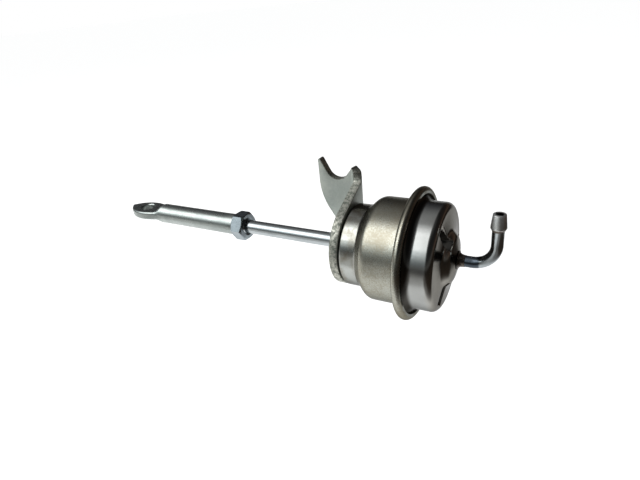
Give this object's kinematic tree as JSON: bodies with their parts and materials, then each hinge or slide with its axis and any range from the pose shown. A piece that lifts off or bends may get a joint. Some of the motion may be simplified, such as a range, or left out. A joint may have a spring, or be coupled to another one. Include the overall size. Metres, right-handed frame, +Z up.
{
  "type": "wastegate actuator",
  "caption": "Spring diaphragm can on a bent sheet bracket with an open notch; a push rod with jam nut and pressed eye, and a bent barbed hose nipple.",
  "frame": {"origin": "on the outer face of the bracket's ear, 9 mm below the centre of its open notch", "axes": "+X along the rod's axis towards the hose nipple, +Y out of the ear's outer face, +Z up the nipple"},
  "size_m": [0.1597, 0.0444, 0.0488],
  "materials": {
    "zinc_satin": "satin zinc-plated steel",
    "zinc_bright": "bright zinc-plated steel",
    "zinc_plated_sheet": "matte zinc-plated steel sheet",
    "steel_smooth": "smooth plated steel",
    "steel_plain": "plain steel",
    "braze_dark": "dark braze",
    "bronze": "plain bronze",
    "rubber_black": "matte black rubber"
  },
  "bodies": {
    "housing": {"mounting_bracket": "zinc_plated_sheet", "can_body": "zinc_satin", "cover": "steel_smooth", "hose_nipple": "zinc_bright", "nipple_braze": "braze_dark", "guide_bush": "bronze", "rod_seal": "rubber_black", "seal_cap": "steel_plain", "spring_seat": "steel_plain", "return_spring": "steel_plain", "diaphragm": "rubber_black"},
    "rod": {"actuator_rod": "zinc_bright", "piston_cup": "steel_plain", "cup_washer": "steel_plain", "diaphragm_plate": "steel_plain", "head_washer": "steel_plain"},
    "nut": {"jam_nut": "zinc_bright"},
    "end": {"rod_end": "zinc_bright"}
  },
  "joints": [
    {"name": "rod_stroke", "type": "slide", "parent": "housing", "child": "rod", "axis": [-1, 0, 0], "range_m": [0, 0.01], "stiffness_N_per_m": 4000, "springref_m": -0.0073, "deforming": ["return_spring", "diaphragm"]},
    {"name": "jam_nut_turn", "type": "hinge", "parent": "rod", "child": "nut", "pos_m": [-0.0389, -0.0125, -0.015], "axis": [1, 0, 0], "range_deg": [-180, 180]},
    {"name": "rod_end_turn", "type": "hinge", "parent": "rod", "child": "end", "pos_m": [-0.0543, -0.0125, -0.015], "axis": [1, 0, 0], "range_deg": [-180, 180]}
  ]
}
